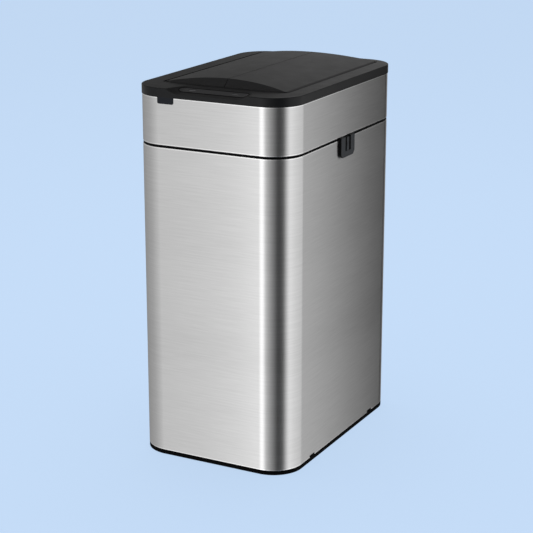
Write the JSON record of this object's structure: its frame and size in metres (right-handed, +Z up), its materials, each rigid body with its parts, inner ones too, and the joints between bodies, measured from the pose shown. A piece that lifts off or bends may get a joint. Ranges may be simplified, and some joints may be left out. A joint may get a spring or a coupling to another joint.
{
  "type": "sensor trash can",
  "caption": "Tall rounded steel kitchen bin with a lift-off head, butterfly lid leaves that open upwards, a hand sensor in a front scoop and side latches.",
  "frame": {"origin": "on the floor, under the middle of the bin", "axes": "+X to the right, +Y to the back, +Z up; the sensor faces -Y"},
  "size_m": [0.2938, 0.4156, 0.6365],
  "materials": {
    "steel": "brushed round the bin",
    "black_plastic": "satin",
    "rubber": "matte",
    "smoked_panel": "gloss",
    "board_green": "solder mask",
    "dark_parts": "gloss",
    "tab_navy": "satin",
    "rod_steel": "bright",
    "gear_white": "moulded",
    "motor_grey": "satin",
    "cell_wrap": "gloss",
    "contact_metal": "plated"
  },
  "bodies": {
    "body": {"body_shell": "steel", "base_tray": "black_plastic", "foot_pads": "rubber", "rim_collar": "black_plastic", "right_latch_plate": "black_plastic", "left_latch_plate": "black_plastic"},
    "right_latch": {"right_latch_tongue": "black_plastic"},
    "left_latch": {"left_latch_tongue": "black_plastic"},
    "head": {"head_band": "steel", "head_liner": "black_plastic", "lid_frame": "black_plastic", "throat_seal": "rubber", "sensor_window": "smoked_panel", "control_board": "board_green", "infrared_pair": "dark_parts", "key_domes": "dark_parts", "front_tab": "tab_navy", "right_gearmotor": "motor_grey", "left_gearmotor": "motor_grey", "battery_housing": "black_plastic", "battery_cells": "cell_wrap", "battery_contacts": "contact_metal", "housing_screws": "rod_steel"},
    "right_lid": {"right_leaf": "black_plastic", "right_leaf_cover": "black_plastic", "right_hinge_rod": "rod_steel", "right_leaf_gear": "gear_white"},
    "left_lid": {"left_leaf": "black_plastic", "left_leaf_cover": "black_plastic", "left_hinge_rod": "rod_steel", "left_leaf_gear": "gear_white"},
    "right_drive": {"right_pinion": "gear_white"},
    "left_drive": {"left_pinion": "gear_white"},
    "open_button": {"open_key": "smoked_panel"},
    "close_button": {"close_key": "smoked_panel"},
    "cell_door": {"battery_door": "black_plastic"},
    "switch_rocker": {"power_switch": "black_plastic"}
  },
  "joints": [
    {"name": "head_lift", "type": "slide", "parent": "body", "child": "head", "axis": [0, 0, 1], "range_m": [0, 0.12]},
    {"name": "right_leaf_hinge", "type": "hinge", "parent": "head", "child": "right_lid", "pos_m": [0.1055, 0.0168, 0.6185], "axis": [0, 1, 0], "range_deg": [0, 80]},
    {"name": "left_leaf_hinge", "type": "hinge", "parent": "head", "child": "left_lid", "pos_m": [-0.1055, 0.0168, 0.6185], "axis": [0, -1, 0], "range_deg": [0, 80]},
    {"name": "right_pinion_spin", "type": "hinge", "parent": "head", "child": "right_drive", "pos_m": [0.1055, -0.1605, 0.6005], "axis": [0, 1, 0], "range_deg": [-160, 0]},
    {"name": "left_pinion_spin", "type": "hinge", "parent": "head", "child": "left_drive", "pos_m": [-0.1055, -0.1605, 0.6005], "axis": [0, -1, 0], "range_deg": [-160, 0]},
    {"name": "open_key_press", "type": "slide", "parent": "head", "child": "open_button", "axis": [0, 0.1799, -0.9837], "range_m": [0, 0.0006], "stiffness_N_per_m": 400},
    {"name": "close_key_press", "type": "slide", "parent": "head", "child": "close_button", "axis": [0, 0.1799, -0.9837], "range_m": [0, 0.0006], "stiffness_N_per_m": 400},
    {"name": "right_latch_flex", "type": "hinge", "parent": "body", "child": "right_latch", "pos_m": [0.1454, 0, 0.5082], "axis": [0, -1, 0], "range_deg": [0, 4.5], "stiffness_Nm_per_rad": 0.4},
    {"name": "left_latch_flex", "type": "hinge", "parent": "body", "child": "left_latch", "pos_m": [-0.1454, 0, 0.5082], "axis": [0, 1, 0], "range_deg": [0, 4.5], "stiffness_Nm_per_rad": 0.4},
    {"name": "battery_door_hinge", "type": "hinge", "parent": "head", "child": "cell_door", "pos_m": [0, -0.1659, 0.5855], "axis": [1, 0, 0], "range_deg": [0, 90]},
    {"name": "power_switch_rock", "type": "hinge", "parent": "head", "child": "switch_rocker", "pos_m": [0.062, -0.1804, 0.5855], "axis": [-1, 0, 0], "range_deg": [0, 12]}
  ],
  "couplings": [
    {"joint": "right_pinion_spin", "follows": "right_leaf_hinge", "ratio": -2},
    {"joint": "left_pinion_spin", "follows": "left_leaf_hinge", "ratio": -2}
  ]
}
